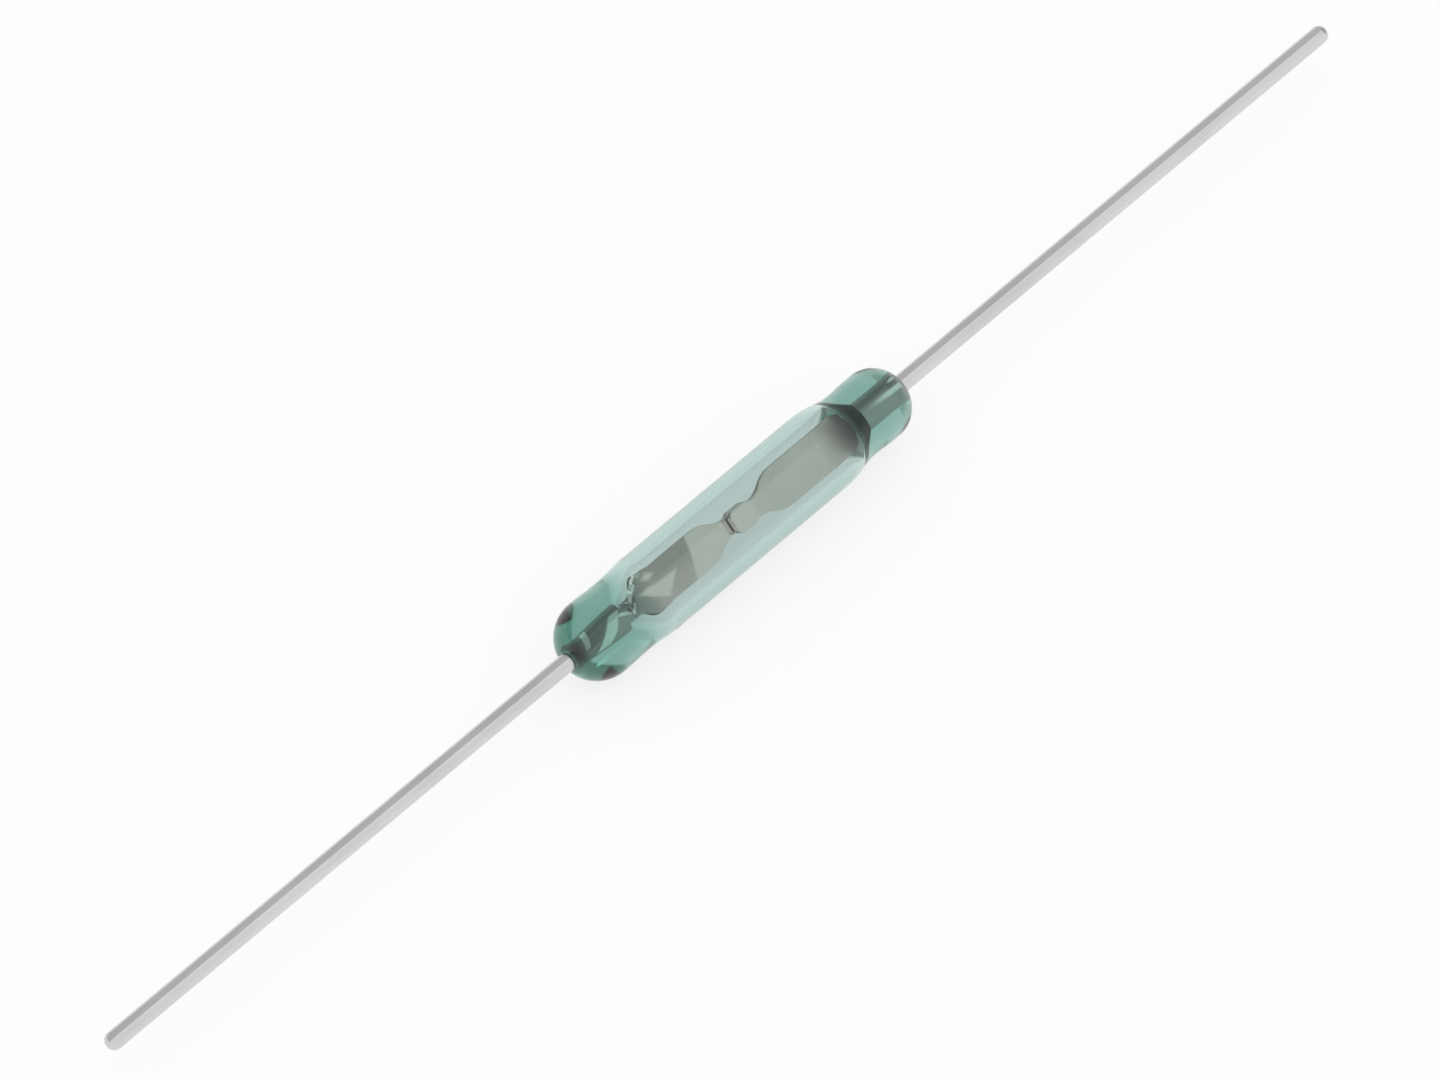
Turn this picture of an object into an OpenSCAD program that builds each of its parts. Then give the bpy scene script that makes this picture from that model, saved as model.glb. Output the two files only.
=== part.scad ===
// Glass reed switch: two flattened wires sealed into a glass tube, with a contact gap between their ends.
// X runs along the leads, from the left end to the right end, and the origin is the middle of the glass.

/* [Glass] */
// length of the glass
glass_length = 10; // [9.5:0.25:14]
// diameter of the hollow middle of the glass
glass_diameter = 1.8; // [1.7:0.05:2.4]
// thickness of the glass round the hollow
glass_wall = 0.27; // [0.2:0.01:0.3]
// solid glass from the left end to the hollow
left_seal = 1.4; // [1.2:0.05:1.7]
// solid glass from the right end to the hollow
right_seal = 1.28; // [1.1:0.02:1.5]

/* [Hollow ends] */
// length of the taper at the left end of the hollow
left_cone_run = 0.85; // [0.6:0.05:1]
// length of the taper at the right end of the hollow
right_cone_run = 0.26; // [0.2:0.02:0.5]
// length of the thin wedge of glass along the right wire
right_creep_run = 0.3; // [0.2:0.02:0.4]
// how far the thin end of the hollow stands off the right wire
right_creep_rise = 0.135; // [0.1:0.005:0.18]

/* [Glass ends] */
// how much slimmer than the middle the left end is
left_bulb_loss = 0.05; // [0.02:0.01:0.07]
// how much slimmer than the middle the left waist is
left_waist_loss = 0.09; // [0.08:0.01:0.2]
// how much slimmer than the middle the right end is
right_bulb_loss = 0.23; // [0.1:0.01:0.25]
// how much slimmer than the middle the right waist is
right_waist_loss = 0.265; // [0.26:0.005:0.34]
// corner radius of the flatter right end
right_end_round = 0.66; // [0.5:0.02:0.74]
// length from the left dome to the left waist
left_bulb_run = 0.75; // [0.6:0.05:0.9]
// length from the left waist to the even middle
left_shoulder_run = 0.9; // [0.6:0.05:1.1]
// length of the even part of the right end
right_bulb_run = 0.2; // [0.1:0.05:0.4]
// length from the right waist to the even part of the right end
right_waist_run = 0.5; // [0.4:0.05:0.7]
// length from the even middle to the right waist
right_shoulder_run = 1.05; // [0.8:0.05:1.3]

/* [Leads] */
// diameter of the plated wire outside the glass
wire_diameter = 0.4; // [0.36:0.01:0.44]
// thickness of the plating, which ends inside the glass
plating = 0.005; // [0.002:0.001:0.01]
// length over which the plating thins out inside the glass
plating_run = 0.6; // [0.55:0.05:0.9]
// length of each lead outside the glass
lead_length = 13.5; // [5:0.5:20]

/* [Reeds] */
// turn of the flat blades about the leads
blade_turn = 45; // [0:5:90]
// width of the flat blade
blade_width = 0.9; // [0.8:0.02:0.96]
// thickness of the flat blade
blade_thick = 0.14; // [0.1:0.01:0.16]
// width of the contact pad at the end of the blade
pad_width = 0.5; // [0.46:0.01:0.6]
// length of the contact pad
pad_length = 0.45; // [0.4:0.05:0.7]
// thickness of the contact pad
pad_thick = 0.16; // [0.15:0.01:0.22]
// width of the narrow place behind the pad
neck_width = 0.4; // [0.34:0.01:0.44]
// how far the two pads overlap
overlap = 0.6; // [0.4:0.05:0.7]
// open gap between the two pads
contact_gap = 0.05; // [0.02:0.01:0.08]
// how far the contacts are from the middle of the glass
contact_offset = 0.15; // [0:0.05:0.3]
// length of bare wire from the left seal to where the reed bends
left_bend_run = 0.2; // [0.15:0.05:0.3]
// length of bare wire from the right seal to where the reed bends
right_bend_run = 0.12; // [0.1:0.02:0.3]
// length of round wire from the bend to the blade
root_run = 0.05; // [0.03:0.01:0.1]
// length over which the wire spreads out into the blade
spread_run = 0.55; // [0.45:0.05:0.7]
// length over which the wire is pressed down to the blade
press_run = 0.25; // [0.2:0.05:0.5]
// length over which the blade narrows to the neck
taper_run = 0.85; // [0.6:0.05:1]
// length over which the neck widens to the pad
pad_run = 0.14; // [0.12:0.01:0.2]
// corner radius of the pad
pad_corner = 0.12; // [0.06:0.01:0.16]

/* [Hidden] */
$fn = 72;
// fineness of the long shallow arcs
arc_steps = 720;
wire_r = wire_diameter / 2;
bare_r = wire_r - plating;
glass_r = glass_diameter / 2;
bore_r = glass_r - glass_wall;
glass_end = glass_length / 2;
lead_tip = glass_end + lead_length;

// glass outline, as radii and places along the leads
left_bulb_r = glass_r - left_bulb_loss / 2;
left_waist_r = glass_r - left_waist_loss / 2;
right_bulb_r = glass_r - right_bulb_loss / 2;
right_waist_r = glass_r - right_waist_loss / 2;
left_dome = left_bulb_r - glass_end;
left_waist = left_dome + left_bulb_run;
left_shoulder = left_waist + left_shoulder_run;
right_round = glass_end - right_end_round;
right_bulb = right_round - right_bulb_run;
right_waist = right_bulb - right_waist_run;
right_shoulder = right_waist - right_shoulder_run;

// hollow: where it closes on the wires
hollow_left = left_seal - glass_end;
hollow_right = glass_end - right_seal;
right_creep_r = bare_r + right_creep_rise;

// reeds: where they bend, and the outline of the left one towards the end of its pad
left_bend = hollow_left + left_bend_run;
right_bend = hollow_right - right_bend_run;
pad_end = contact_offset + overlap / 2;
neck_x = pad_end - pad_length - pad_run;
taper_x = neck_x - taper_run;
root_half = bare_r / 2;
blade_top = -contact_gap / 2;
blade_low = blade_top - blade_thick;
pad_low = blade_top - pad_thick;

// Area under a straight line at height h, from a to b.
module level(a, b, h) {
    translate([a, 0]) square([b - a, h]);
}

// Area under two equal arcs that lead smoothly from height ha at a to height hb at b.
module slope(a, ha, b, hb) {
    drop = abs(ha - hb);
    bend_r = (pow(b - a, 2) + drop * drop) / (4 * drop);
    high_x = ha > hb ? a : b;
    low_x = ha > hb ? b : a;
    high = max(ha, hb);
    low = min(ha, hb);
    half = (b - a) / 2;
    intersection() {
        translate([min(high_x, (a + b) / 2), 0]) square([half, high]);
        translate([high_x, high - bend_r]) circle(bend_r, $fn = arc_steps);
    }
    difference() {
        translate([min(low_x, (a + b) / 2), 0]) square([half, high]);
        translate([low_x, low + bend_r]) circle(bend_r, $fn = arc_steps);
    }
}

// Area under a quarter circle of radius r, on a level of height h, from x towards side.
module corner(x, h, r, side) {
    intersection() {
        translate([x, h - r]) circle(r);
        translate([side > 0 ? x : x - r, 0]) square([r, h]);
    }
    if (h > r) translate([side > 0 ? x : x - r, 0]) square([r, h - r]);
}

// Solid of revolution about X, from an outline that has X along and the radius up.
module turned() {
    rotate([0, 90, 0]) rotate_extrude() mirror([1, 0]) rotate(90) children();
}

module glass_outline() {
    corner(left_dome, left_bulb_r, left_bulb_r, -1);
    slope(left_dome, left_bulb_r, left_waist, left_waist_r);
    slope(left_waist, left_waist_r, left_shoulder, glass_r);
    level(left_shoulder, right_shoulder, glass_r);
    slope(right_shoulder, glass_r, right_waist, right_waist_r);
    slope(right_waist, right_waist_r, right_bulb, right_bulb_r);
    level(right_bulb, right_round, right_bulb_r);
    corner(right_round, right_bulb_r, right_end_round, 1);
}

// The hollow: a plain taper at the left, and at the right a steep taper, then a thin wedge along the wire.
module hollow_outline() {
    wedge_x = hollow_right - right_creep_run;
    polygon([
        [hollow_left, 0], [hollow_left, bare_r], [hollow_left + left_cone_run, bore_r],
        [wedge_x - right_cone_run, bore_r], [wedge_x, right_creep_r],
        [hollow_right, bare_r], [hollow_right, 0]
    ]);
}

module glass_envelope() {
    color([0.6, 0.78, 0.73, 0.5]) turned() difference() {
        glass_outline();
        hollow_outline();
        lead_outline(right_bend);
        mirror([1, 0]) lead_outline(-left_bend);
    }
}

// Round wire towards +X: bare from where the reed bends, then plated, to its domed tip.
module lead_outline(bend_x) {
    fade_x = glass_end - plating_run;
    level(bend_x, fade_x, bare_r);
    polygon([[fade_x, 0], [glass_end, 0], [glass_end, wire_r], [fade_x, bare_r]]);
    level(glass_end, lead_tip - wire_r, wire_r);
    corner(lead_tip - wire_r, wire_r, wire_r, 1);
}

module lead(bend_x) {
    color([0.78, 0.78, 0.77]) turned() lead_outline(bend_x);
}

module left_lead() {
    mirror([1, 0, 0]) lead(-left_bend);
}

module right_lead() {
    lead(right_bend);
}

// Half of the blade's outline from its root, seen square to its flat.
module half_blade(root_x) {
    flat_x = root_x + spread_run;
    slope(root_x, root_half, flat_x, blade_width / 2);
    level(flat_x, taper_x, blade_width / 2);
    slope(taper_x, blade_width / 2, neck_x, neck_width / 2);
    slope(neck_x, neck_width / 2, neck_x + pad_run, pad_width / 2);
    level(neck_x + pad_run, pad_end - pad_corner, pad_width / 2);
    corner(pad_end - pad_corner, pad_width / 2, pad_corner, 1);
}

// The blade from the side: flat on top, and thicker under the pad.
module blade_side(root_x) {
    polygon([
        [root_x, blade_top], [pad_end, blade_top], [pad_end, pad_low],
        [neck_x, pad_low], [taper_x, blade_low], [root_x, blade_low]
    ]);
}

// The wire from the side, pressed from its full height down to the blade.
module root_side(bend_x) {
    root_x = bend_x + root_run;
    polygon([
        [bend_x, bare_r], [root_x, bare_r], [root_x + press_run, blade_top],
        [root_x + press_run, blade_low], [root_x, -bare_r], [bend_x, -bare_r]
    ]);
}

// A side view made solid, across the width of the blade.
module from_side() {
    rotate([90, 0, 0]) linear_extrude(2 * blade_width, center = true) children();
}

// A reed that starts at bend_x and runs towards +X, with its flat level and its contact face on top.
module level_reed(bend_x) {
    root_x = bend_x + root_run;
    intersection() {
        translate([0, 0, pad_low]) linear_extrude(pad_thick) {
            half_blade(root_x);
            mirror([0, 1]) half_blade(root_x);
        }
        from_side() blade_side(root_x);
    }
    intersection() {
        turned() level(bend_x, root_x + press_run, bare_r);
        from_side() root_side(bend_x);
    }
}

module left_reed() {
    color([0.63, 0.64, 0.61]) rotate([blade_turn, 0, 0]) level_reed(left_bend);
}

// The same reed turned over and end for end, about the middle of the contacts.
module right_reed() {
    turned_over = 2 * contact_offset;
    color([0.63, 0.64, 0.61]) rotate([blade_turn, 0, 0])
        translate([turned_over, 0, 0]) rotate([0, 180, 0]) level_reed(turned_over - right_bend);
}

glass_envelope();
left_lead();
right_lead();
left_reed();
right_reed();
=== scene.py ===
# Glass reed switch: smooth glass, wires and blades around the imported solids.
import math

import bmesh
import bpy
from mathutils import Matrix, Vector


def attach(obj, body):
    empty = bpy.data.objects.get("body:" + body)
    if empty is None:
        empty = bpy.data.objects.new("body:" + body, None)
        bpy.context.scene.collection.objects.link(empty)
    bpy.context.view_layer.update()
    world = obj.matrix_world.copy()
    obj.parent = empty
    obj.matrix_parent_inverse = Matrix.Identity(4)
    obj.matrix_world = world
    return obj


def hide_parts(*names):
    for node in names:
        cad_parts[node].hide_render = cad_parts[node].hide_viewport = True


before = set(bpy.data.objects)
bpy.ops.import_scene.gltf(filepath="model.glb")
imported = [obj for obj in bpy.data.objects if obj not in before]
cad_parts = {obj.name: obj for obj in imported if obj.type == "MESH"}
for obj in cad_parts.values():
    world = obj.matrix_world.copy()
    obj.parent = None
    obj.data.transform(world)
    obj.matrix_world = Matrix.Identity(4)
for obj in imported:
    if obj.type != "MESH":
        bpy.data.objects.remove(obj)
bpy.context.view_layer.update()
mm = 0.001
scene = bpy.context.scene
scene.view_settings.view_transform = "Standard"
print("frame loaded")

photoCamera = {
    "azimuth": -48.48,   # degrees round the part, 0 looks along +Y
    "elevation": 47.64,
    "distance": 0.332,
    "lens": 412.25,
    "aim": (-0.48 * mm, -0.069 * mm, -0.042 * mm),
    "sensor": 36,
    "clip": (0.01, 10),
}


def makeCamera(look):
    turn = math.radians(look["azimuth"])
    rise = math.radians(look["elevation"])
    back = Vector((math.sin(turn) * math.cos(rise), -math.cos(turn) * math.cos(rise), math.sin(rise)))
    data = bpy.data.cameras.new("photoCamera")
    data.sensor_fit = "HORIZONTAL"
    data.sensor_width = look["sensor"]
    data.lens = look["lens"]
    data.clip_start, data.clip_end = look["clip"]
    camera = bpy.data.objects.new("photoCamera", data)
    camera.location = Vector(look["aim"]) + back * look["distance"]
    camera.rotation_mode = "QUATERNION"
    camera.rotation_quaternion = (-back).to_track_quat("-Z", "Y")
    scene.collection.objects.link(camera)
    scene.camera = camera


makeCamera(photoCamera)
print("camera set")


# Small helpers for node trees
def addNode(tree, kind, inputs=None, **settings):
    node = tree.nodes.new(kind)
    for name, value in settings.items():
        setattr(node, name, value)
    for name, value in (inputs or {}).items():
        node.inputs[name].default_value = value
    return node


def newMaterial(name):
    material = bpy.data.materials.new(name)
    material.use_nodes = True
    tree = material.node_tree
    tree.nodes.clear()
    output = addNode(tree, "ShaderNodeOutputMaterial")
    shader = addNode(tree, "ShaderNodeBsdfPrincipled")
    tree.links.new(shader.outputs["BSDF"], output.inputs["Surface"])
    return material, shader


# Soft step from 0 at low to 1 at high
def mapRange(tree, value, low, high):
    node = addNode(tree, "ShaderNodeMapRange", {"From Min": low, "From Max": high})
    node.interpolation_type = "SMOOTHSTEP"
    tree.links.new(value, node.inputs["Value"])
    return node.outputs["Result"]


# The same between two places that are given in millimetres
def between(tree, value, limits):
    return mapRange(tree, value, limits[0] * mm, limits[1] * mm)


def combine(tree, operation, first, second):
    node = addNode(tree, "ShaderNodeMath", operation=operation)
    for socket, value in zip(node.inputs, (first, second)):
        if isinstance(value, (int, float)):
            socket.default_value = value
        else:
            tree.links.new(value, socket)
    return node.outputs["Value"]


def mixColours(tree, factor, first, second):
    node = addNode(tree, "ShaderNodeMix", data_type="RGBA")
    tree.links.new(factor, node.inputs["Factor"])
    for socket, colour in ((node.inputs["A"], first), (node.inputs["B"], second)):
        if isinstance(colour, tuple):
            socket.default_value = (*colour, 1)
        else:
            tree.links.new(colour, socket)
    return node.outputs["Result"]


# Noise on Object coordinates, with its own number of waves per millimetre along each axis
def waves(tree, place, perMm, detail=2.0):
    scale = addNode(tree, "ShaderNodeMapping")
    scale.inputs["Scale"].default_value = [count / mm for count in perMm]
    noise = addNode(tree, "ShaderNodeTexNoise", {"Scale": 1.0, "Detail": detail})
    tree.links.new(place, scale.inputs["Vector"])
    tree.links.new(scale.outputs["Vector"], noise.inputs["Vector"])
    return noise.outputs["Fac"]


# Roughness that follows a pattern from its low to its high limit
def roughFrom(tree, pattern, limits):
    node = addNode(tree, "ShaderNodeMapRange", {"To Min": limits[0], "To Max": limits[1]})
    tree.links.new(pattern, node.inputs["Value"])
    return node.outputs["Result"]


def addBump(tree, shader, height, strength, depth):
    bump = addNode(tree, "ShaderNodeBump", {"Strength": strength, "Distance": depth * mm})
    tree.links.new(height, bump.inputs["Height"])
    tree.links.new(bump.outputs["Normal"], shader.inputs["Normal"])


# Where a point is: as a place, and as its three parts
def placeSockets(tree):
    place = addNode(tree, "ShaderNodeTexCoord").outputs["Object"]
    parts = addNode(tree, "ShaderNodeSeparateXYZ")
    tree.links.new(place, parts.inputs["Vector"])
    return place, parts.outputs


# How far a place is from the axis of the leads
def fromAxis(tree, place):
    across = addNode(tree, "ShaderNodeVectorMath", operation="MULTIPLY")
    across.inputs[1].default_value = (0, 1, 1)
    away = addNode(tree, "ShaderNodeVectorMath", operation="LENGTH")
    tree.links.new(place, across.inputs[0])
    tree.links.new(across.outputs["Vector"], away.inputs[0])
    return away.outputs["Value"]


# How far a place lies along a direction
def alongLine(tree, place, direction):
    node = addNode(tree, "ShaderNodeVectorMath", operation="DOT_PRODUCT")
    node.inputs[1].default_value = direction
    tree.links.new(place, node.inputs[0])
    return node.outputs["Value"]


# Outlines are lists of (place along X, height), in millimetres
def arcsAt(x, a, ha, b, hb):
    drop = ha - hb
    bendR = ((b - a) ** 2 + drop ** 2) / (4 * abs(drop))
    side = 1 if drop > 0 else -1
    if x < (a + b) / 2:
        return ha - side * (bendR - math.sqrt(bendR ** 2 - (x - a) ** 2))
    return hb + side * (bendR - math.sqrt(bendR ** 2 - (b - x) ** 2))


def spread(a, b, steps):
    return [a + (b - a) * i / steps for i in range(steps + 1)]


def arcPoints(x, y, r, start, end, steps):
    return [(x + r * math.cos(math.radians(t)), y + r * math.sin(math.radians(t)))
            for t in spread(start, end, steps)]


def slopePoints(a, ha, b, hb, steps):
    return [(x, arcsAt(x, a, ha, b, hb)) for x in spread(a, b, steps)]


wireSizes = {
    "wireR": 0.2,        # plated, outside the glass
    "bareR": 0.195,      # sealed in the glass
    "tip": 18.5,         # end of each lead, from the middle
    "platingRun": 0.6,
    "leftBend": -3.4,    # where the blade's motion starts
    "rightBend": 3.6,
    "sides": 64,
}

glassSizes = {
    "end": 5.0,
    "barrelR": 0.9,
    "boreR": 0.63,
    "leftBulbR": 0.875, "leftWaistR": 0.855,
    "rightBulbR": 0.785, "rightWaistR": 0.7675,
    "leftWaist": -3.375, "leftShoulder": -2.475,
    "rightShoulder": 2.59, "rightWaist": 3.64, "rightBulb": 4.14,
    "rightRound": 0.66,
    "hollowLeft": -3.6, "hollowRight": 3.72,   # where the hollow closes on the wire
    "leftCone": 0.85, "rightCone": 0.26,      # length of the hollow's tapered ends
    "leftEase": 1.0, "rightEase": 0.15,       # bend radius where a taper meets the bore
    "leftCreep": 0.0, "rightCreep": 0.3,     # length of the thin wedge of glass along the wire
    "leftCreepR": 0.183, "rightCreepR": 0.33,
    "meniscus": 0.04,    # glass that creeps along the wire
    "lipStop": 0.2,      # radians by which the meniscus stops short of the dome
    "roundStop": 4,      # degrees by which the right end stops short of flat
    "embed": 0.012,      # wire skin that sits in the glass
    "sides": 144,
}


def glassOutline(g, w):
    end, lip = g["end"], g["meniscus"]
    inner = w["bareR"] - g["embed"]
    leftDome = g["leftBulbR"] - end
    lipH = w["wireR"] + lip
    lipAngle = math.degrees(math.asin(lipH / g["leftBulbR"]))
    lipX = leftDome - g["leftBulbR"] * math.cos(math.radians(lipAngle))
    points = [(lipX - lip, inner)]
    points += [(lipX - lip + lip * math.sin(t), lipH - lip * math.cos(t))
               for t in spread(0, math.pi / 2 - g["lipStop"], steps=6)]
    points += arcPoints(leftDome, 0, g["leftBulbR"], 180 - lipAngle, 90, steps=48)[1:]
    points += slopePoints(leftDome, g["leftBulbR"], g["leftWaist"], g["leftWaistR"], steps=20)[1:]
    points += slopePoints(g["leftWaist"], g["leftWaistR"], g["leftShoulder"], g["barrelR"], steps=24)[1:]
    points += [(x, g["barrelR"]) for x in spread(g["leftShoulder"], g["rightShoulder"], steps=24)[1:]]
    points += slopePoints(g["rightShoulder"], g["barrelR"], g["rightWaist"], g["rightWaistR"], steps=32)[1:]
    points += slopePoints(g["rightWaist"], g["rightWaistR"], g["rightBulb"], g["rightBulbR"], steps=16)[1:]
    roundX = end - g["rightRound"]
    roundH = g["rightBulbR"] - g["rightRound"]
    points += [(x, g["rightBulbR"]) for x in spread(g["rightBulb"], roundX, steps=6)[1:]]
    points += arcPoints(roundX, roundH, g["rightRound"], 90, g["roundStop"], steps=32)[1:]
    points += [(end + lip * (1 - math.sin(t)), lipH - lip * math.cos(t))
               for t in spread(math.pi / 2, 0, steps=6)]
    points += [(end + lip, inner)]
    # back through the seals and round the hollow
    points += [(x, inner) for x in spread(end, g["hollowRight"], steps=6)[1:-1]]
    right = hollowEnd(g, inner, "right")
    left = hollowEnd(g, inner, "left")
    points += [(g["hollowRight"] - x, h) for x, h in right]
    leftBore = g["hollowLeft"] + left[-1][0]
    points += [(x, g["boreR"]) for x in spread(points[-1][0], leftBore, steps=24)[1:-1]]
    points += [(g["hollowLeft"] + x, h) for x, h in reversed(left)]
    points += [(x, inner) for x in spread(g["hollowLeft"], -end, steps=8)[1:-1]]
    return points


# End of the hollow, from the wire outwards: a thin wedge, then a taper eased into the bore
def hollowEnd(g, inner, side):
    creep, creepR = g[side + "Creep"], g[side + "CreepR"]
    run, ease = g[side + "Cone"], g[side + "Ease"]
    tilt = math.atan2(g["boreR"] - creepR, run)
    cut = ease * math.tan(tilt / 2)
    stopX = run - cut * math.cos(tilt)
    stopH = g["boreR"] - cut * math.sin(tilt)
    points = []
    if creep:
        points += [(x, inner + (creepR - inner) * x / creep) for x in spread(0, creep, steps=8)[:-1]]
    points += [(creep + x, creepR + (stopH - creepR) * x / stopX) for x in spread(0, stopX, steps=10)]
    points += [(creep + run + cut - ease * math.sin(a), g["boreR"] - ease * (1 - math.cos(a)))
               for a in spread(tilt, 0, steps=20)[1:]]
    return points


def leadOutline(w, bend):
    fade = glassSizes["end"] - w["platingRun"]
    r = w["wireR"]
    points = [(bend, 0), (bend, w["bareR"])]
    points += [(x, w["bareR"]) for x in spread(bend, fade, steps=6)[1:]]
    points += [(x, w["bareR"] + (r - w["bareR"]) * (x - fade) / w["platingRun"])
               for x in spread(fade, glassSizes["end"], steps=4)[1:]]
    points += [(x, r) for x in spread(glassSizes["end"], w["tip"] - r, steps=48)[1:]]
    points += arcPoints(w["tip"] - r, 0, r, 90, 0, steps=20)[1:]
    return points


spineRadius = 0.5 * mm
weldDistance = 1e-8


# Geometry Nodes lathe: turns an outline, held as edges in XY, about X
def latheTree():
    tree = bpy.data.node_groups.new("turnAboutAxis", "GeometryNodeTree")
    face = tree.interface
    face.new_socket("Geometry", in_out="INPUT", socket_type="NodeSocketGeometry")
    face.new_socket("Sides", in_out="INPUT", socket_type="NodeSocketInt")
    face.new_socket("Spine radius", in_out="INPUT", socket_type="NodeSocketFloat")
    face.new_socket("Finish", in_out="INPUT", socket_type="NodeSocketMaterial")
    face.new_socket("Geometry", in_out="OUTPUT", socket_type="NodeSocketGeometry")
    given = addNode(tree, "NodeGroupInput")
    outline = addNode(tree, "GeometryNodeMeshToCurve")
    spine = addNode(tree, "GeometryNodeCurvePrimitiveCircle")
    upright = addNode(tree, "GeometryNodeSetCurveNormal", mode="Z_UP")
    sweep = addNode(tree, "GeometryNodeCurveToMesh")
    lay = addNode(tree, "GeometryNodeTransform", {"Rotation": (0, math.pi / 2, 0)})
    close = addNode(tree, "GeometryNodeMergeByDistance", {"Distance": weldDistance})
    smooth = addNode(tree, "GeometryNodeSetShadeSmooth")
    realize = addNode(tree, "GeometryNodeRealizeInstances")
    finish = addNode(tree, "GeometryNodeSetMaterial")
    result = addNode(tree, "NodeGroupOutput")
    link = tree.links.new
    link(given.outputs["Geometry"], outline.inputs["Mesh"])
    link(given.outputs["Sides"], spine.inputs["Resolution"])
    link(given.outputs["Spine radius"], spine.inputs["Radius"])
    link(spine.outputs["Curve"], upright.inputs["Curve"])
    link(upright.outputs["Curve"], sweep.inputs["Curve"])
    link(outline.outputs["Curve"], sweep.inputs["Profile Curve"])
    link(sweep.outputs["Mesh"], lay.inputs["Geometry"])
    link(lay.outputs["Geometry"], close.inputs["Geometry"])
    link(close.outputs["Geometry"], smooth.inputs["Geometry"])
    link(smooth.outputs["Geometry"], realize.inputs["Geometry"])
    link(realize.outputs["Geometry"], finish.inputs["Geometry"])
    link(given.outputs["Finish"], finish.inputs["Material"])
    link(finish.outputs["Geometry"], result.inputs["Geometry"])
    return tree


lathe = latheTree()


def recalcNormals(mesh):
    work = bmesh.new()
    work.from_mesh(mesh)
    bmesh.ops.recalc_face_normals(work, faces=work.faces)
    work.to_mesh(mesh)
    work.free()


def turnedPiece(name, outline, closed, sides, finish, mirrored=False):
    side = -1 if mirrored else 1
    flat = bpy.data.meshes.new(name)
    count = len(outline)
    corners = [(h * mm - spineRadius, -side * x * mm, 0) for x, h in outline]   # the sweep runs towards -X
    edges = [(i, (i + 1) % count) for i in range(count if closed else count - 1)]
    flat.from_pydata(corners, edges, [])
    piece = bpy.data.objects.new(name, flat)
    scene.collection.objects.link(piece)
    modifier = piece.modifiers.new("turn", "NODES")
    modifier.node_group = lathe
    values = {"Sides": sides, "Spine radius": spineRadius, "Finish": finish}
    for socket in lathe.interface.items_tree:
        if socket.in_out == "INPUT" and socket.name in values:
            modifier[socket.identifier] = values[socket.name]
    state = bpy.context.evaluated_depsgraph_get()
    solid = bpy.data.meshes.new_from_object(piece.evaluated_get(state))
    piece.modifiers.clear()
    piece.data = solid
    recalcNormals(solid)
    return piece


glassFinish = {
    "ior": 1.57,
    "surface": (0.9, 0.882, 0.895),   # what two surfaces let through
    "tint": (0.1775, 0.587, 0.4925), "density": 1060,   # body colour, per metre
    "drawn": (0.2, 2.5, 2.5), "drawnStrength": 0.05, "drawnDepth": 0.02,   # faint waves of drawn glass
    # painted shade on the far seal face, as a dark sheet that is black on top and thinner below
    "sealShadeFrom": (3.13, 3.19), "sealShadeWithin": (0.632, 0.6),
    "sealShadeTop": (0.05, 0.068, 0.062), "sealShadeRim": (0.15, 0.2, 0.18), "rimFrom": (0.4, 0.5),
    "sealShadeBelow": (0.3, 0.42, 0.36),
    "sealShadeSide": (0, -0.5174, 0.8558), "sealShadeFade": (-0.12, 0.05), "sealShadeRough": 0.5,
}


def greenGlass(look):
    material, shader = newMaterial("greenGlass")
    tree = material.node_tree
    link = tree.links.new
    place, parts = placeSockets(tree)
    away = fromAxis(tree, place)
    shader.inputs["IOR"].default_value = look["ior"]
    # painted shade: the far seal face is made dark and opaque on its upper side, and tinted below
    sealShade = combine(tree, "MULTIPLY", between(tree, parts["X"], look["sealShadeFrom"]),
                   between(tree, away, look["sealShadeWithin"]))
    onTop = between(tree, alongLine(tree, place, look["sealShadeSide"]), look["sealShadeFade"])
    topColour = mixColours(tree, between(tree, away, look["rimFrom"]), look["sealShadeTop"], look["sealShadeRim"])
    sealShadeColour = mixColours(tree, onTop, look["sealShadeBelow"], topColour)
    link(mixColours(tree, sealShade, look["surface"], sealShadeColour), shader.inputs["Base Color"])
    opaque = combine(tree, "MULTIPLY", sealShade, onTop)
    link(combine(tree, "SUBTRACT", 1, opaque), shader.inputs["Transmission Weight"])
    link(combine(tree, "MULTIPLY", opaque, look["sealShadeRough"]), shader.inputs["Roughness"])
    addBump(tree, shader, waves(tree, place, look["drawn"]), look["drawnStrength"], look["drawnDepth"])
    absorb = addNode(tree, "ShaderNodeVolumeAbsorption",
                     {"Color": (*look["tint"], 1), "Density": look["density"]})
    link(absorb.outputs["Volume"], tree.get_output_node("ALL").inputs["Volume"])
    return material


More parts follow.
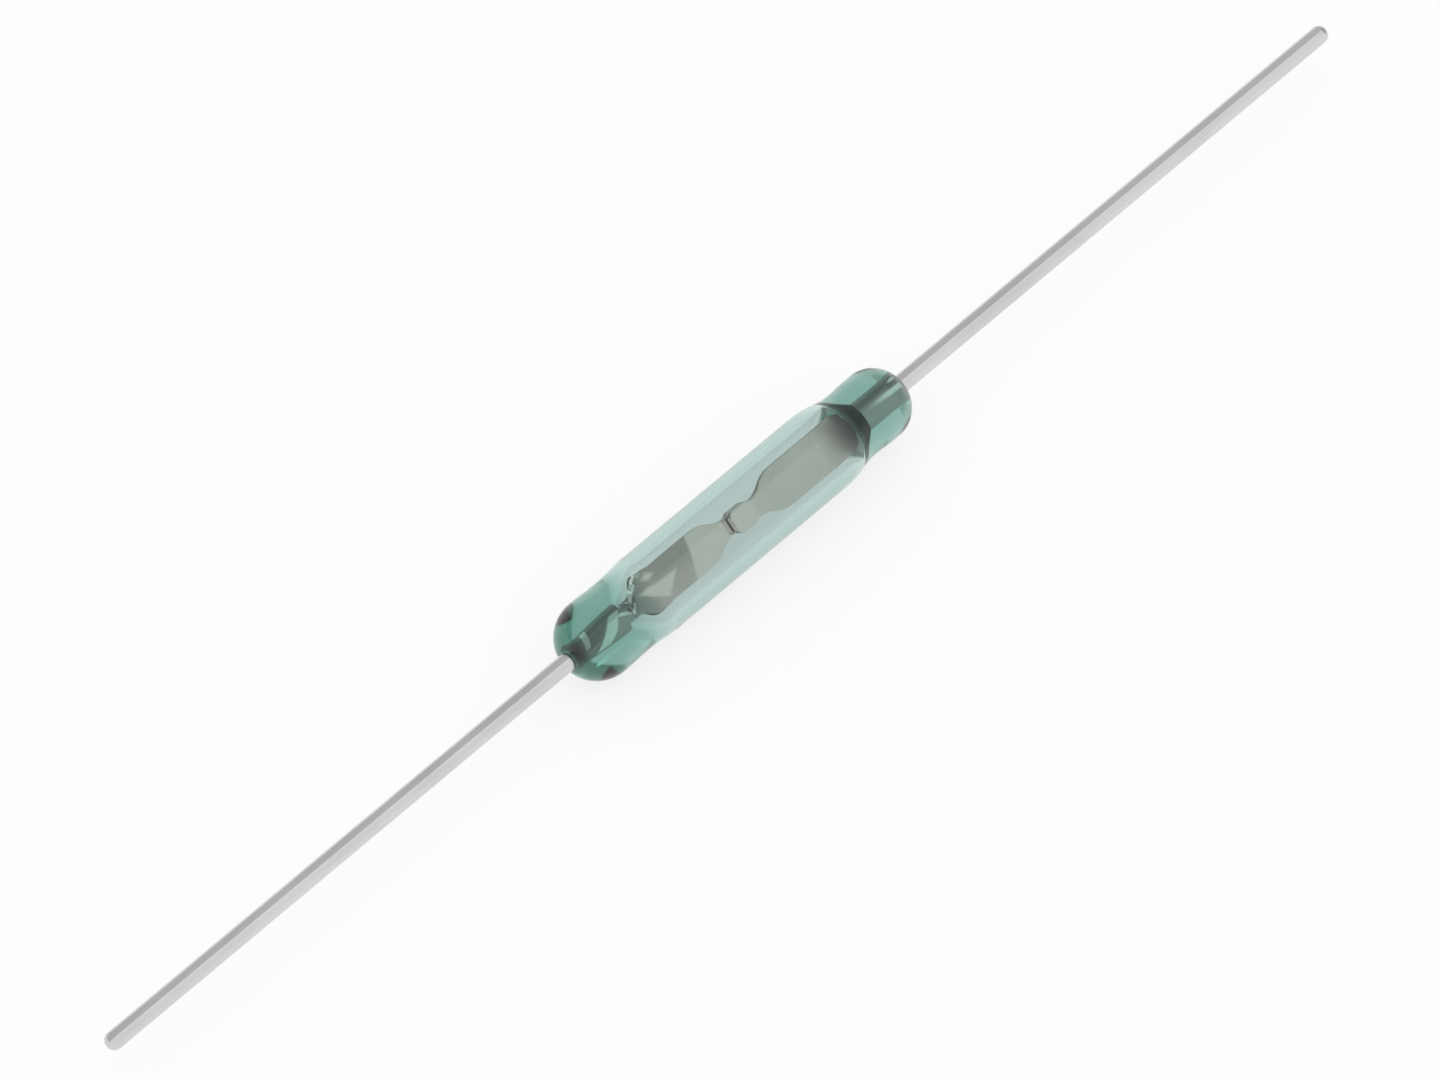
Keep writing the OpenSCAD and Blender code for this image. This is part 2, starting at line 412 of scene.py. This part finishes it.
leadFinish = {
    "plated": (0.67, 0.67, 0.66), "dull": (0.62, 0.62, 0.61),
    "blotches": (0.4, 1.5, 1.5), "blotchFrom": (0.4, 0.65),
    "bareFrom": (4.97, 4.93),                     # where the plating ends, from the middle of the glass
    "bare": (0.45, 0.43, 0.41), "shade": (0.3, 0.285, 0.275), "entryShade": (0.19, 0.185, 0.18),
    "facing": (-0.5174, 0.8558),                  # Y and Z of the line that angles round the wire count from
    "shadeFrom": (0.3, 0.6),                      # angle where the painted shade on the upper side starts
    "entryShadeFrom": (-4.58, -4.68),                  # painted shade where the left wire enters the glass
    # painted highlights on the left wire, two streaks, a ring and a short line at the root, as place, slant
    # per radian, half width, first angle, last angle, and whether painted shade covers the wire up to there
    "highlightTone": (1.0, 0.97, 0.94), "highlightCore": 0.6, "highlightSoft": 0.12,
    "highlightMarks": ((-4.45, 0.105, 0.08, -0.3, 1.2, False), (-3.9, 0.25, 0.17, -1.2, 0.62, True),
                (-4.93, 0.0, 0.07, -2.6, 2.6, False), (-3.55, -0.55, 0.1, -0.35, 0.3, False)),
    # painted highlight stripe along the right wire, as first place, angle there, turn per millimetre, and the
    # half angles where it starts and where it is full
    "highlightStripe": (4.0, 0.16, -0.21, 0.3, 0.1), "highlightStripeFrom": (3.8, 4.6),
    "lines": (0.3, 12, 12),                       # drawing lines
    "roughness": (0.12, 0.2), "lineStrength": 0.2, "lineDepth": 0.002,
}


def platedWire(look):
    material, shader = newMaterial("platedWire")
    tree = material.node_tree
    link = tree.links.new
    place, parts = placeSockets(tree)
    along = parts["X"]
    shader.inputs["Metallic"].default_value = 1
    lines = waves(tree, place, look["lines"])
    blotches = mapRange(tree, waves(tree, place, look["blotches"]), *look["blotchFrom"])
    forward, up = look["facing"]
    front = alongLine(tree, place, (0, forward, up))
    aside = alongLine(tree, place, (0, up, -forward))
    angle = combine(tree, "ARCTAN2", aside, front)
    # painted shade on the upper side of the sealed wire
    shade = mapRange(tree, angle, *look["shadeFrom"])
    # painted highlights on the left sealed wire
    marks = []
    for start, slant, half, first, last, shaded in look["highlightMarks"]:
        middle = combine(tree, "ADD", combine(tree, "MULTIPLY", angle, slant * mm), start * mm)
        past = combine(tree, "SUBTRACT", along, middle)
        mark = between(tree, combine(tree, "ABSOLUTE", past, 0), (half, half * look["highlightCore"]))
        for limit, soft in ((first, look["highlightSoft"]), (last, -look["highlightSoft"])):
            mark = combine(tree, "MULTIPLY", mark, mapRange(tree, angle, limit - soft, limit + soft))
        marks.append(mark)
        # painted shade over the wire up to the broad highlight
        if shaded:
            shade = combine(tree, "MAXIMUM", shade, between(tree, past, (0, -half)))
    sealed = mixColours(tree, shade, look["bare"], look["shade"])
    # painted shade where the left wire enters the glass
    sealed = mixColours(tree, between(tree, along, look["entryShadeFrom"]), sealed, look["entryShade"])
    for mark in marks:
        sealed = mixColours(tree, mark, sealed, look["highlightTone"])
    # painted highlight stripe along the right sealed wire
    fromX, turn, twist, outer, full = look["highlightStripe"]
    middle = combine(tree, "ADD", combine(tree, "MULTIPLY", along, twist / mm), turn - twist * fromX)
    offStripe = combine(tree, "ABSOLUTE", combine(tree, "SUBTRACT", angle, middle), 0)
    highlightStripe = combine(tree, "MULTIPLY", mapRange(tree, offStripe, outer, full),
                     between(tree, along, look["highlightStripeFrom"]))
    sealed = mixColours(tree, highlightStripe, sealed, look["highlightTone"])
    plated = mixColours(tree, blotches, look["plated"], look["dull"])
    bare = between(tree, combine(tree, "ABSOLUTE", along, 0), look["bareFrom"])
    link(mixColours(tree, bare, plated, sealed), shader.inputs["Base Color"])
    link(roughFrom(tree, lines, look["roughness"]), shader.inputs["Roughness"])
    addBump(tree, shader, lines, look["lineStrength"], look["lineDepth"])
    return material


bladeFinish = {
    # a paler tone takes over from the satin towards -X, with random patches
    "satin": (0.69, 0.655, 0.585), "paleTone": (0.78, 0.735, 0.67), "paleFrom": (0.9, -0.6),
    "pad": (0.78, 0.75, 0.69), "padMiddle": 0.15, "padHalf": (0.36, 0.26),
    "edgeShade": (0.2, 0.19, 0.17), "edgeShadeFrom": (0.85, 1.0),   # painted shade on faces that face sideways
    "patches": (0.9, 1.6, 1.6), "grain": (1.5, 16, 16),
    "widthAxis": (0, 0.7071, 0.7071),
    # painted shade on the root of the left blade, up to a slanting border, each line as (along, across,
    # offset)
    "border": (-1, 0.3, 1.3), "dark": (0.41, 0.39, 0.35), "mid": (0.53, 0.485, 0.44),
    "midBelow": (-0.12, 0.06), "midFrom": (-2.75, -2.45),
    "root": (0.33, 0.33, 0.3), "rootUntil": (-2.6, -2.95),
    # painted highlight in a triangle within three lines, and a painted highlight spot above it
    "bright": (0.78, 0.735, 0.67), "spot": (-2.47, 0.28), "spotHalf": (0.36, 0.15), "spotFade": (1.0, 0.2),
    "lines": ((0, -1, -0.07), (0.503, 0.864, -1.427), (-0.639, 0.769, 1.12)),
    "ripple": 0.16, "soft": (-0.03, 0.05),
    # painted highlights in thin lines at the left root, each from one point to another (along, across)
    "paintedGlint": (1.0, 0.98, 0.95), "glintHalf": (0.055, 0.025), "glintFade": 0.03,
    "glintLines": (((-3.45, -0.05), (-3.2, 0.06)), ((-3.3, 0.13), (-2.92, 0.35))),
    "roughness": (0.12, 0.2), "dullFrom": (2.3, 2.8), "dullRough": 0.3,   # duller towards the far root
}


def pressedBlade(look):
    material, shader = newMaterial("pressedBlade")
    tree = material.node_tree
    link = tree.links.new
    place, parts = placeSockets(tree)
    along = parts["X"]
    across = alongLine(tree, place, look["widthAxis"])
    shader.inputs["Metallic"].default_value = 1
    patches = waves(tree, place, look["patches"], detail=1.0)
    unevenness = combine(tree, "SUBTRACT", patches, 0.5)   # swings round zero
    wavy = combine(tree, "MULTIPLY", unevenness, look["ripple"] * mm)

    # how far a point is past a line, which wavers a little
    def past(line):
        a, b, offset = line
        lean = combine(tree, "ADD", combine(tree, "MULTIPLY", along, a), combine(tree, "MULTIPLY", across, b))
        return combine(tree, "ADD", combine(tree, "SUBTRACT", lean, offset * mm), wavy)

    # paler towards -X, with random patches
    paleShare = combine(tree, "ADD", between(tree, along, look["paleFrom"]), unevenness)
    blade = mixColours(tree, paleShare, look["satin"], look["paleTone"])
    # painted shade on the left blade's root, darkest near the wire
    rootTone = mixColours(tree, between(tree, across, look["midBelow"]), look["mid"], look["dark"])
    rootTone = mixColours(tree, between(tree, along, look["midFrom"]), look["dark"], rootTone)
    rootTone = mixColours(tree, between(tree, along, look["rootUntil"]), rootTone, look["root"])
    # painted highlight in a triangle and a spot on the left root
    first, second, third = [past(line) for line in look["lines"]]
    inside = combine(tree, "MINIMUM", combine(tree, "MINIMUM", first, second), third)
    triangle = between(tree, inside, look["soft"])
    reach = []
    for value, middle, half in zip((along, across), look["spot"], look["spotHalf"]):
        off = combine(tree, "ABSOLUTE", combine(tree, "SUBTRACT", value, middle * mm), 0)
        reach.append(combine(tree, "DIVIDE", off, half * mm))
    spot = mapRange(tree, combine(tree, "ADD", *reach), *look["spotFade"])
    rootTone = mixColours(tree, combine(tree, "MAXIMUM", triangle, spot), rootTone, look["bright"])
    # painted highlights in thin lines at the left root
    for start, end in look["glintLines"]:
        line = Vector(end) - Vector(start)
        dx, dy = line.normalized()
        onward = past((dx, dy, dx * start[0] + dy * start[1]))
        aside = combine(tree, "ABSOLUTE", past((-dy, dx, dx * start[1] - dy * start[0])), 0)
        fade = look["glintFade"]
        paintedGlint = combine(tree, "MULTIPLY", between(tree, onward, (-fade, fade)),
                         between(tree, onward, (line.length + fade, line.length - fade)))
        paintedGlint = combine(tree, "MULTIPLY", paintedGlint, between(tree, aside, look["glintHalf"]))
        rootTone = mixColours(tree, paintedGlint, rootTone, look["paintedGlint"])
    # the painted shade and highlights cover the left blade up to the slanting border
    blade = mixColours(tree, between(tree, past(look["border"]), look["soft"]), blade, rootTone)
    fromPad = combine(tree, "ABSOLUTE", combine(tree, "SUBTRACT", along, look["padMiddle"] * mm), 0)
    blade = mixColours(tree, between(tree, fromPad, look["padHalf"]), blade, look["pad"])
    # painted shade on the faces that face sideways
    cut = addNode(tree, "ShaderNodeAttribute", attribute_name="side")
    edgeShade = mapRange(tree, cut.outputs["Fac"], *look["edgeShadeFrom"])
    link(mixColours(tree, edgeShade, blade, look["edgeShade"]), shader.inputs["Base Color"])
    shine = roughFrom(tree, waves(tree, place, look["grain"]), look["roughness"])
    dull = combine(tree, "MULTIPLY", between(tree, along, look["dullFrom"]), look["dullRough"])
    link(combine(tree, "ADD", shine, dull), shader.inputs["Roughness"])
    return material


glassLook = greenGlass(glassFinish)
wireLook = platedWire(leadFinish)
bladeLook = pressedBlade(bladeFinish)
print("materials made")

tubeOutline = glassOutline(glassSizes, wireSizes)
glassTube = turnedPiece("glassTube", tubeOutline, True, glassSizes["sides"], glassLook)
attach(glassTube, "capsule")
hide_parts("glass_envelope")
print("glass turned:", len(glassTube.data.vertices), "points")

for name, node, bend, mirrored in (
        ("leftLeadWire", "left_lead", -wireSizes["leftBend"], True),
        ("rightLeadWire", "right_lead", wireSizes["rightBend"], False)):
    wire = turnedPiece(name, leadOutline(wireSizes, bend), False, wireSizes["sides"], wireLook, mirrored)
    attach(wire, "capsule")
    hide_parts(node)
print("leads turned")

bladeSizes = {
    "turn": 45,           # degrees about the leads
    "halfWidth": 0.45, "halfNeck": 0.2, "halfPad": 0.25,
    "rootRun": 0.05, "spreadRun": 0.55, "pressRun": 0.25,   # after the bend
    "taperX": -0.99, "neckX": -0.14, "padX": 0.0, "padEnd": 0.45,
    "padCorner": 0.12, "endRound": 0.02,
    "endStop": 0.2,       # radians of the pad's corners that a flat end cuts off
    "edge": 0.02, "edgeRun": 0.8,   # the wire's roundness dies out to a small edge radius
    "hair": 0.001,        # keeps the corners of a section apart
    "cornerSteps": 8,
    "bevel": 0.085, "bevelRise": 1.235, "bevelFrom": (0.1, 0.25), "bevelTo": (0.65, 0.5),   # after the root
    "top": -0.025, "low": -0.165, "padLow": -0.185,
    "contactX": 0.15,
}


def share(value, zero, one):
    return min(1, max(0, (value - zero) / (one - zero)))


def bladeSections(b, w, bend):
    r = w["bareR"]
    root = bend + b["rootRun"]
    flat = root + b["spreadRun"]
    corner = b["padEnd"] - b["padCorner"]
    places = spread(bend, root, steps=4)
    places += spread(root, flat, steps=48)[1:]
    places += spread(flat, b["taperX"], steps=16)[1:]
    places += spread(b["taperX"], b["neckX"], steps=40)[1:]
    places += spread(b["neckX"], b["padX"], steps=16)[1:]
    places += spread(b["padX"], corner, steps=6)[1:]
    sections = []
    for x in places:
        if x < root:
            half = r
        elif x < flat:
            half = arcsAt(x, root, r, flat, b["halfWidth"])
        elif x < b["taperX"]:
            half = b["halfWidth"]
        elif x < b["neckX"]:
            half = arcsAt(x, b["taperX"], b["halfWidth"], b["neckX"], b["halfNeck"])
        elif x < b["padX"]:
            half = arcsAt(x, b["neckX"], b["halfNeck"], b["padX"], b["halfPad"])
        else:
            half = b["halfPad"]
        press = share(x - root, 0, b["pressRun"])
        thicken = share(x, b["taperX"], b["neckX"])
        top = r + (b["top"] - r) * press
        low = -r + (b["low"] + r) * press + (b["padLow"] - b["low"]) * thicken
        edge = max(b["edge"], r * (1 - max(0, x - root) / b["edgeRun"]))
        bevel = share(x - root, *b["bevelFrom"]) * share(x - root, *b["bevelTo"])
        sections.append((x, max(half, (top - low) / 2), top, low, edge, bevel))
    # the pad's round corners and softened end
    for t in spread(0, math.pi / 2 - b["endStop"], steps=12)[1:]:
        x = corner + b["padCorner"] * math.sin(t)
        half = b["halfPad"] - b["padCorner"] * (1 - math.cos(t))
        late = max(0, x - b["padEnd"] + b["endRound"])
        soft = b["endRound"] - math.sqrt(b["endRound"] ** 2 - late ** 2)
        sections.append((x, half, b["top"] - soft, b["padLow"] + soft, b["edge"], 0))
    return sections


# Points round one section, each with how far it faces sideways
def sectionRing(b, x, half, top, low, edge, bevel):
    mid = (top + low) / 2
    tall = (top - low) / 2
    r = min(edge, tall, half) - b["hair"]
    ring = []
    for quarter in range(4):
        sideY = 1 if quarter in (0, 3) else -1
        sideZ = 1 if quarter in (0, 1) else -1
        for t in spread(quarter * math.pi / 2, (quarter + 1) * math.pi / 2, b["cornerSteps"]):
            y = sideY * (half - r) + r * math.cos(t)
            z = mid + sideZ * (tall - r) + r * math.sin(t)
            point = Vector((x, y, z))
            if sideZ > 0 and bevel > 0:
                up = abs(math.sin(t)) ** 2
                cutY = sideY * (half - b["bevel"] * up)
                cutZ = top - b["bevel"] * b["bevelRise"] * (1 - up)
                point = point.lerp(Vector((x, cutY, cutZ)), bevel)
            ring.append((point, abs(math.cos(t)) * (1 - bevel)))
    return ring


def bladePiece(name, bend, place, finish):
    work = bmesh.new()
    rings = []
    sides = []
    for section in bladeSections(bladeSizes, wireSizes, bend):
        ring = sectionRing(bladeSizes, *section)
        rings.append([work.verts.new(place @ (p * mm)) for p, side in ring])
        sides += [side for p, side in ring]
    for near, far in zip(rings, rings[1:]):
        for i in range(len(near)):
            j = (i + 1) % len(near)
            work.faces.new((near[i], near[j], far[j], far[i]))
    work.faces.new(rings[0])
    work.faces.new(rings[-1])
    bmesh.ops.recalc_face_normals(work, faces=work.faces)
    for face in work.faces:
        face.smooth = len(face.verts) == 4
    mesh = bpy.data.meshes.new(name)
    work.to_mesh(mesh)
    work.free()
    mesh.attributes.new("side", "FLOAT", "POINT").data.foreach_set("value", sides)
    mesh.materials.append(finish)
    piece = bpy.data.objects.new(name, mesh)
    scene.collection.objects.link(piece)
    return piece


turnBlade = Matrix.Rotation(math.radians(bladeSizes["turn"]), 4, "X")
overTurn = Matrix.Translation((2 * bladeSizes["contactX"] * mm, 0, 0)) @ Matrix.Rotation(math.pi, 4, "Y")
for name, node, body, bend, place in (
        ("leftReedBlade", "left_reed", "left_blade", wireSizes["leftBend"], turnBlade),
        ("rightReedBlade", "right_reed", "right_blade",
         2 * bladeSizes["contactX"] - wireSizes["rightBend"], turnBlade @ overTurn)):
    blade = bladePiece(name, bend, place, bladeLook)
    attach(blade, body)
    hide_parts(node)
print("blades pressed")

studio = {
    "floorZ": -0.9 * mm, "floorSize": 4.0, "floorColour": (0.2, 0.2, 0.2), "floorGlow": 0.79,
    # brightness round the leads, from behind over the top to the front and the floor, on an axis that leans
    "acrossLean": 25,
    "across": ((0.0, 0.63), (0.36, 0.63), (0.4, 1.05), (0.44, 1.05), (0.54, 0.95), (1.0, 0.95)),
    "sweepTop": 0.2, "sweepFull": 0.1, "sweepLevel": 0.95,
    # a dark flag low on the far side, and a lamp over the near end that only the inside of the glass sees
    "flagAim": (0.93, -0.15, 0.33), "flagSoft": (0.80, 0.92), "flagLevel": 0.5,
    "lampAim": (-0.28, 0.75, 0.6), "lampSoft": (0.95, 0.985), "lampLevel": 3.0,
}


def makeFloor(look):
    half = look["floorSize"] / 2
    mesh = bpy.data.meshes.new("studioFloor")
    z = look["floorZ"]
    corners = [(-half, -half, z), (half, -half, z), (half, half, z), (-half, half, z)]
    mesh.from_pydata(corners, [], [(0, 1, 2, 3)])
    floor = bpy.data.objects.new("studioFloor", mesh)
    scene.collection.objects.link(floor)
    material, shader = newMaterial("paleFloor")
    shader.inputs["Base Color"].default_value = (*look["floorColour"], 1)
    shader.inputs["Roughness"].default_value = 1
    shader.inputs["Specular IOR Level"].default_value = 0
    shader.inputs["Emission Color"].default_value = (1, 1, 1, 1)
    shader.inputs["Emission Strength"].default_value = look["floorGlow"]
    mesh.materials.append(material)


def makeWorld(look):
    world = bpy.data.worlds.new("softStudio")
    scene.world = world
    world.use_nodes = True
    tree = world.node_tree
    tree.nodes.clear()
    output = addNode(tree, "ShaderNodeOutputWorld")
    link = tree.links.new
    way = addNode(tree, "ShaderNodeTexCoord").outputs["Generated"]
    # the soft box in front, the grey top and back
    lean = math.radians(look["acrossLean"])
    side = alongLine(tree, way, (0, -math.cos(lean), -math.sin(lean)))
    span = addNode(tree, "ShaderNodeMapRange", {"From Min": -1.0, "From Max": 1.0})
    ramp = addNode(tree, "ShaderNodeValToRGB")
    while len(ramp.color_ramp.elements) < len(look["across"]):
        ramp.color_ramp.elements.new(0.5)   # its own place comes next
    for stop, (at, level) in zip(ramp.color_ramp.elements, look["across"]):
        stop.position, stop.color = at, (level, level, level, 1)
    # the white sweep behind, up to a little over the horizon
    height = addNode(tree, "ShaderNodeSeparateXYZ")
    sweepSpan = {"From Min": look["sweepTop"], "From Max": look["sweepFull"]}
    sweep = addNode(tree, "ShaderNodeMapRange", sweepSpan)
    rise = addNode(tree, "ShaderNodeMix", data_type="RGBA")
    rise.inputs["B"].default_value = (look["sweepLevel"],) * 3 + (1,)
    link(way, height.inputs["Vector"])
    link(height.outputs["Z"], sweep.inputs["Value"])
    link(sweep.outputs["Result"], rise.inputs["Factor"])
    link(ramp.outputs["Color"], rise.inputs["A"])
    link(side, span.inputs["Value"])
    link(span.outputs["Result"], ramp.inputs["Fac"])
    colour = rise.outputs["Result"]
    rays = addNode(tree, "ShaderNodeLightPath")
    inside = combine(tree, "MINIMUM", rays.outputs["Transmission Depth"], 1)
    for name, shown in (("flag", 1), ("lamp", inside)):
        towards = alongLine(tree, way, Vector(look[name + "Aim"]).normalized())
        spot = combine(tree, "MULTIPLY", mapRange(tree, towards, *look[name + "Soft"]), shown)
        colour = mixColours(tree, spot, colour, (look[name + "Level"],) * 3)
    seen = addNode(tree, "ShaderNodeBackground", {"Strength": 1})
    plain = addNode(tree, "ShaderNodeBackground", {"Color": (1, 1, 1, 1), "Strength": 1})
    link(colour, seen.inputs["Color"])
    # metal and glass see the studio, the rest sees plain white
    either = combine(tree, "MAXIMUM", rays.outputs["Is Glossy Ray"], rays.outputs["Is Transmission Ray"])
    choose = addNode(tree, "ShaderNodeMixShader")
    link(either, choose.inputs["Fac"])
    link(plain.outputs["Background"], choose.inputs[1])
    link(seen.outputs["Background"], choose.inputs[2])
    link(choose.outputs["Shader"], output.inputs["Surface"])


makeFloor(studio)
makeWorld(studio)
print("studio lit")
